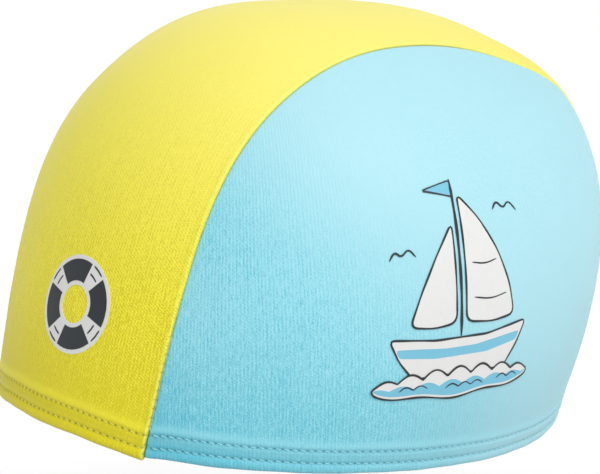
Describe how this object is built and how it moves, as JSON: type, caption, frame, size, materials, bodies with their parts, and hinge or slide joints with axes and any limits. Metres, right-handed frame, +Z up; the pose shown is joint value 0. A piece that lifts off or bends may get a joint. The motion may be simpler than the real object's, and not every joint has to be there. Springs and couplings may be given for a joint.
{
  "type": "fabric swim cap",
  "caption": "Close-fitting knitted swim cap with a centre strip, two side panels and a turned-up hem, in the form it has when worn.",
  "frame": {"origin": "the inside of the crown at its highest point, where the head carries the cap", "axes": "+Z up, -Y towards the forehead, +X towards the wearer's left"},
  "size_m": [0.158, 0.1856, 0.1192],
  "materials": {
    "yellow_knit": "matt fine warp knit with a soft sheen, bright yellow",
    "blue_knit": "matt fine warp knit with a soft sheen, light blue"
  },
  "bodies": {
    "root": {"centre_panel": "yellow_knit", "left_side_panel": "blue_knit", "right_side_panel": "blue_knit"}
  },
  "joints": []
}
